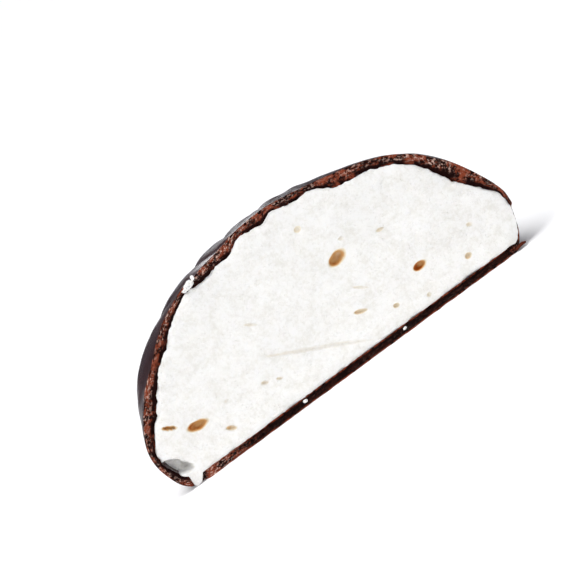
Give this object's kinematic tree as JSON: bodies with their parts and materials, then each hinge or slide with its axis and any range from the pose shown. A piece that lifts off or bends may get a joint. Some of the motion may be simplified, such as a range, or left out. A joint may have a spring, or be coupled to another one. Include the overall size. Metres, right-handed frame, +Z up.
{
  "type": "chocolate covered marshmallow half",
  "caption": "Piped marshmallow dome in a thin dark chocolate coat, cut in half so that the white filling shows; stands on its flat base.",
  "frame": {"origin": "middle of the underside of the box round the part, on the surface it stands on", "axes": "+Z up from the flat base, the cut face towards -Y, the rounded back towards +Y, +X along the cut face to the right as seen from the front"},
  "size_m": [0.058, 0.028, 0.0244],
  "materials": {
    "dark_chocolate": "dark chocolate, smooth with a soft gloss, dull and crumbly where it is cut",
    "white_marshmallow": "matt white foam with fine pores and a few amber syrup pockets"
  },
  "bodies": {
    "root": {"chocolate_coat": "dark_chocolate", "marshmallow": "white_marshmallow"}
  },
  "joints": []
}
